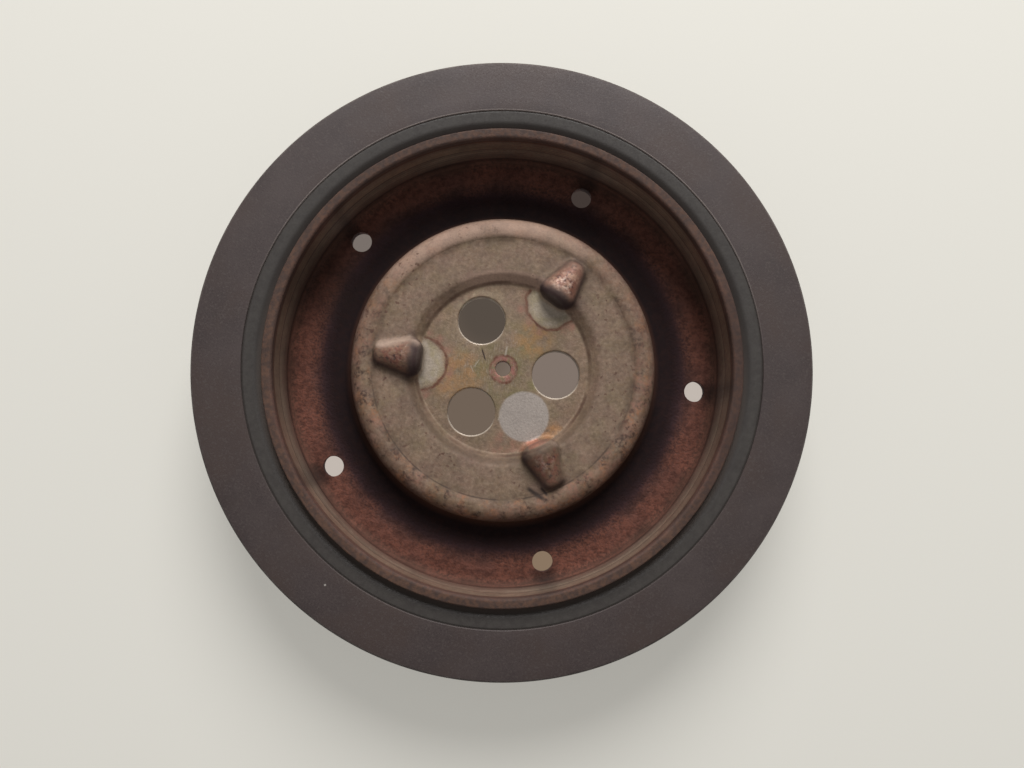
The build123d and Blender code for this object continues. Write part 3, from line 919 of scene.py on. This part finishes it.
# Cast iron, machined and then phosphated: an even purplish grey with a fine grain that
# catches light at a low angle. The belt has rubbed the groove flanks bare.
ringFinish = {
    "coat": ("#3a302f", "#493e3c"), "mottle": 11.0, "grain": (0.45, 4.0, 0.65), "roughness": (0.5, 0.68),
    "relief": (0.3, 0.00012), "metallic": (0.15, 0.85),      # of the coat and of bare iron
    "tints": {"warm": "#443733", "speck": "#4b413e", "edge": "#534845", "paintedLightOnBore": "#857a75",
              "chip": "#a9a29b", "gap": "#3a322f", "bare": "#8c8379", "rust": "#5a3a2a"},
    "chips": (((-35.86, -56.5), 20, 0.5, 0.36),),
    "grooves": ((71, 76, 0.4), (-13.2, 9.8, 0.4)), "flanks": (72.8, 74.9, 0.3),
    "upper": ("side", 0, 0.8, 0, 1),
    "layers": [
        ("warm", None, None, None, 1, (16, 0.4, 0.3, 2)),
        ("speck", None, None, None, 1, (0.5, 0.16, 0.2, 6)),
        ("chip", None, (10, 20, 1.0), "chips", 1),
        ("gap", (60, 62.88, 0.1), None, None, 1),
        # the bore's corner is painted light on the +Y side, where it faces away from the lamp
        ("paintedLightOnBore", (62.72, 63.1, 0.1), (10.9, 12, 0.1), "upper", 1),
        ("edge", (74.45, 75.2, 0.2), None, None, 1, (3, 0.6, 0.3, 7)),
        # groove flanks polished by the belt, with rust in the roots
        ("rust", None, None, "grooves", 1, (2.5, 0.6, 0.4, 9)),
        ("bare", None, None, "flanks", 1, (5, 0.75, 0.4, 10)),
    ],
}


def coatedIron():
    look = ringFinish
    material, tree, shader = newMaterial("phosphated cast iron")
    at = partPlaces(tree)
    fine, rough = grained(tree, at, look)
    mottle = addNode(tree, "TexNoise", {}, {"Vector": at.place, "Scale": 1 / look["mottle"], "Detail": 5.0})
    both = addNode(tree, "Math", {"operation": "ADD"}, {0: mottle, 1: fine})
    share = addNode(tree, "MapRange", {}, {0: both, 1: 0.7, 2: 1.3})
    colour = addNode(tree, "ValToRGB", {"stops": list(zip((0.0, 1.0), look["coat"]))}, {0: share})
    radii, heights = look["grooves"]
    inGrooves = addNode(tree, "Math", product, {
        0: within(tree, at.radius, *radii), 1: within(tree, at.height, *heights)})
    onFlanks = addNode(tree, "Math", product, {0: inGrooves, 1: within(tree, at.radius, *look["flanks"])})
    masks = sideMasks(tree, at, {"upper": look["upper"]})
    masks.update(chips=scoreMask(tree, at.flat, look["chips"]), grooves=inGrooves, flanks=onFlanks)
    colour = weathered(tree, colour, look, at, look["layers"], masks)
    coated, bare = look["metallic"]
    metallic = addNode(tree, "MapRange", {}, {0: onFlanks, 3: coated, 4: bare})
    strength, depth = look["relief"]
    bump = addNode(tree, "Bump", {}, {"Strength": strength, "Distance": depth, "Height": fine})
    return plugged(material, Base_Color=colour, Metallic=metallic, Roughness=rough, Normal=bump)


def splitFinish(piece, reach):
    # Faces further from the axis than that take the piece's second finish.
    faces = piece.data.polygons
    centres = np.empty(3 * len(faces))
    faces.foreach_get("center", centres)
    away = np.hypot(centres[0::3], centres[1::3]) * 1000
    faces.foreach_set("material_index", (away > reach).astype(np.int32))


for piece, finishes in (
    (hubPiece, (filmedSteel(True), filmedSteel(False))),
    (rubberPiece, (agedRubber(),)),
    (ringPiece, (coatedIron(),)),
):
    for finish in finishes:
        piece.data.materials.append(finish)
splitFinish(hubPiece, hubFinish["bossReach"])
print("finishes made")

# The floor shows through the holes. There it glows by itself for the camera, because the
# light that gets in round the back of a held-up part would not reach it otherwise.
floor = {
    "size": 3.0, "gap": 0.05, "colour": "#e4e1d8",
    # the glow under the bolt holes is darker, as painted shadow under the middle of the part
    "throughBolts": "#706256", "throughWeb": "#c1b7ae", "ownGlow": 0.4,
    # painted shadows in the glow seen through the holes: place, reach, colour
    "paintedShadows": (((-5, 17), 13, "#564d45"), ((14, 2), 12, "#80736a"), ((20, 48), 16, "#423935"),
               ((-41, 31), 15, "#786f69"), ((15, -50), 15, "#887460")),
}
half = floor["size"] / 2
floorMesh = bpy.data.meshes.new("floor")
corners = [(-half, -half), (half, -half), (half, half), (-half, half)]
floorMesh.from_pydata([(x, y, (ring["backZ"] - floor["gap"]) * 0.001) for x, y in corners], [], [(0, 1, 2, 3)])
floorObject = bpy.data.objects.new("floor", floorMesh)
bpy.context.scene.collection.objects.link(floorObject)
material, tree, shader = newMaterial("matt paper backdrop")
shader.inputs["Base Color"].default_value = linear(floor["colour"])
shader.inputs["Roughness"].default_value = 0.9
at = partPlaces(tree)
glow = addNode(tree, "MixRGB", {}, {
    "Fac": within(tree, at.radius, 32, 80, 4), "Color1": floor["throughBolts"], "Color2": floor["throughWeb"]})
# painted shadows of the part in the glow
for spot, reach, tint in floor["paintedShadows"]:
    away = addNode(tree, "VectorMath", {"operation": "DISTANCE"}, {0: at.flat, 1: (*spot, 0)})
    glow = laid(tree, glow, tint, within(tree, away, -20, reach, 14))
# outside the part only a share of its own glow, which keeps the shadow but softens it
glow = laid(tree, glow, floor["colour"], within(tree, at.radius, 66, 1e6, 1))
share = addNode(tree, "MapRange", {}, {0: within(tree, at.radius, -5, 62, 1), 3: floor["ownGlow"], 4: 1.0})
seen = addNode(tree, "Math", product, {0: addNode(tree, "LightPath").outputs["Is Camera Ray"], 1: share})
emitter = addNode(tree, "Emission", {}, {"Color": glow})
mixed = addNode(tree, "MixShader", {}, {0: seen, 1: shader, 2: emitter})
# nothing is seen of it from below, and under the part it lets light through, so that the
# part's back can be looked at
cameraRay = addNode(tree, "LightPath").outputs["Is Camera Ray"]
unseen = addNode(tree, "Math", {"operation": "SUBTRACT"}, {0: 1.0, 1: cameraRay})
under = addNode(tree, "Math", product, {0: unseen, 1: within(tree, at.radius, -5, 74.3, 0.4)})
fromBelow = addNode(tree, "NewGeometry").outputs["Backfacing"]
clear = addNode(tree, "Math", {"operation": "MAXIMUM"}, {0: under, 1: fromBelow})
mixed = addNode(tree, "MixShader", {}, {0: clear, 1: mixed, 2: addNode(tree, "BsdfTransparent")})
tree.links.new(mixed.outputs[0], tree.nodes["Material Output"].inputs["Surface"])
floorMesh.materials.append(material)

light = {
    "towards": 90.4, "elevation": 40, "distance": 0.9, "size": 0.56, "power": 9.2,
    "fill": 0.26, "fromBelow": 0.9, "seenByGloss": 0.3, "seenByCamera": 0.8,
}


def pointAt(place, target=(0, 0, 0)):
    # Orientation whose -Z looks from the place to the target.
    back = np.array(place) - np.array(target)
    back = back / np.linalg.norm(back)
    right = np.cross((0, 0, 1), back)
    right = right / np.linalg.norm(right)
    matrix = Matrix(np.stack([right, np.cross(back, right), back], 1).tolist()).to_4x4()
    matrix.translation = place
    return matrix


azimuth, height = math.radians(light["towards"]), math.radians(light["elevation"])
lamp = bpy.data.lights.new("key", "AREA")
lamp.shape, lamp.size, lamp.energy = "DISK", light["size"], light["power"]
lampObject = bpy.data.objects.new("key", lamp)
lampObject.matrix_world = pointAt([
    light["distance"] * math.cos(height) * math.cos(azimuth),
    light["distance"] * math.cos(height) * math.sin(azimuth),
    light["distance"] * math.sin(height),
])
bpy.context.scene.collection.objects.link(lampObject)

world = bpy.data.worlds.new("studio")
world.use_nodes = True
worldTree = world.node_tree
ray = addNode(worldTree, "LightPath")
# the floor hides all that comes from below except from the part's back
direction = addNode(worldTree, "TexCoord").outputs["Generated"]
upwards = addNode(worldTree, "SeparateXYZ", {}, {0: direction}).outputs["Z"]
strength = addNode(worldTree, "MapRange", smooth, {
    0: upwards, 1: -0.1, 2: 0.0, 3: light["fromBelow"], 4: light["fill"]})
for kind, seen in (("Is Glossy Ray", light["seenByGloss"]), ("Is Camera Ray", light["seenByCamera"])):
    strength = addNode(worldTree, "MapRange", {}, {0: ray.outputs[kind], 3: strength, 4: seen})
worldTree.links.new(strength.outputs[0], worldTree.nodes["Background"].inputs["Strength"])
worldTree.nodes["Background"].inputs["Color"].default_value = (1, 1, 1, 1)
bpy.context.scene.world = world

lens = {
    "focalPixels": 850, "imageWidth": 1024, "distance": 204.4, "tiltX": -4.16, "tiltY": 0.78,
    "shift": (-2.13, 4.71), "roll": 6.4, "planeZ": 11.3,
}
tiltX, tiltY, roll = (Matrix.Rotation(math.radians(lens[key]), 3, axis) for key, axis in (
    ("tiltX", "X"), ("tiltY", "Y"), ("roll", "Z")))
turn = roll @ (tiltY @ tiltX).transposed()
seat = turn @ Vector((-lens["shift"][0], -lens["shift"][1], lens["distance"]))
camera = bpy.data.cameras.new("camera")
camera.sensor_width = 36
camera.lens = lens["focalPixels"] * camera.sensor_width / lens["imageWidth"]
cameraObject = bpy.data.objects.new("camera", camera)
cameraMatrix = turn.to_4x4()
cameraMatrix.translation = [seat.x * 0.001, seat.y * 0.001, (seat.z + lens["planeZ"]) * 0.001]
cameraObject.matrix_world = cameraMatrix
bpy.context.scene.collection.objects.link(cameraObject)
bpy.context.scene.camera = cameraObject
bpy.context.scene.view_settings.view_transform = "Standard"
